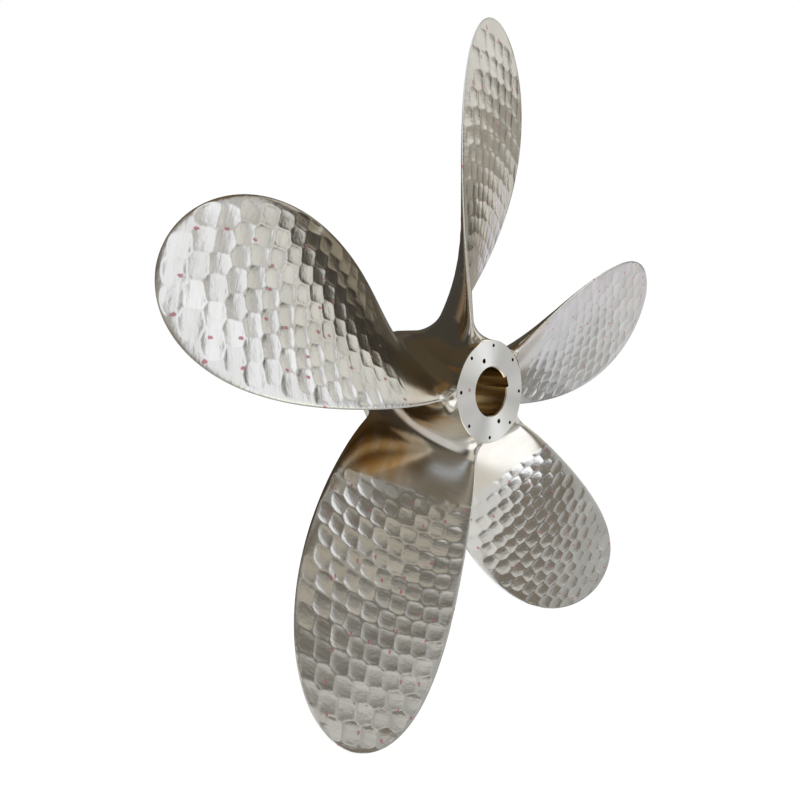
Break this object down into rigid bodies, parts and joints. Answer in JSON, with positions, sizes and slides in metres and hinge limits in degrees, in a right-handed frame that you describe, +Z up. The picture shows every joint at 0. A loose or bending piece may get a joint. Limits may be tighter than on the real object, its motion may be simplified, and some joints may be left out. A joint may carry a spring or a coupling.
{
  "type": "ship propeller",
  "caption": "One-piece right-handed fixed-pitch ship propeller in bronze, raked and skewed blades on a hub with a tapered keyed bore.",
  "frame": {"origin": "where the blades' generator line meets the shaft axis, inside the hub", "axes": "+Y along the shaft axis towards the ship (forward), +Z up, the aft hub face looks along -Y"},
  "size_m": [2.276, 0.5499, 2.2807],
  "materials": {
    "bronze": "milled blade faces, polished roots and hub"
  },
  "bodies": {
    "root": {"propeller_casting": "bronze"}
  },
  "joints": []
}
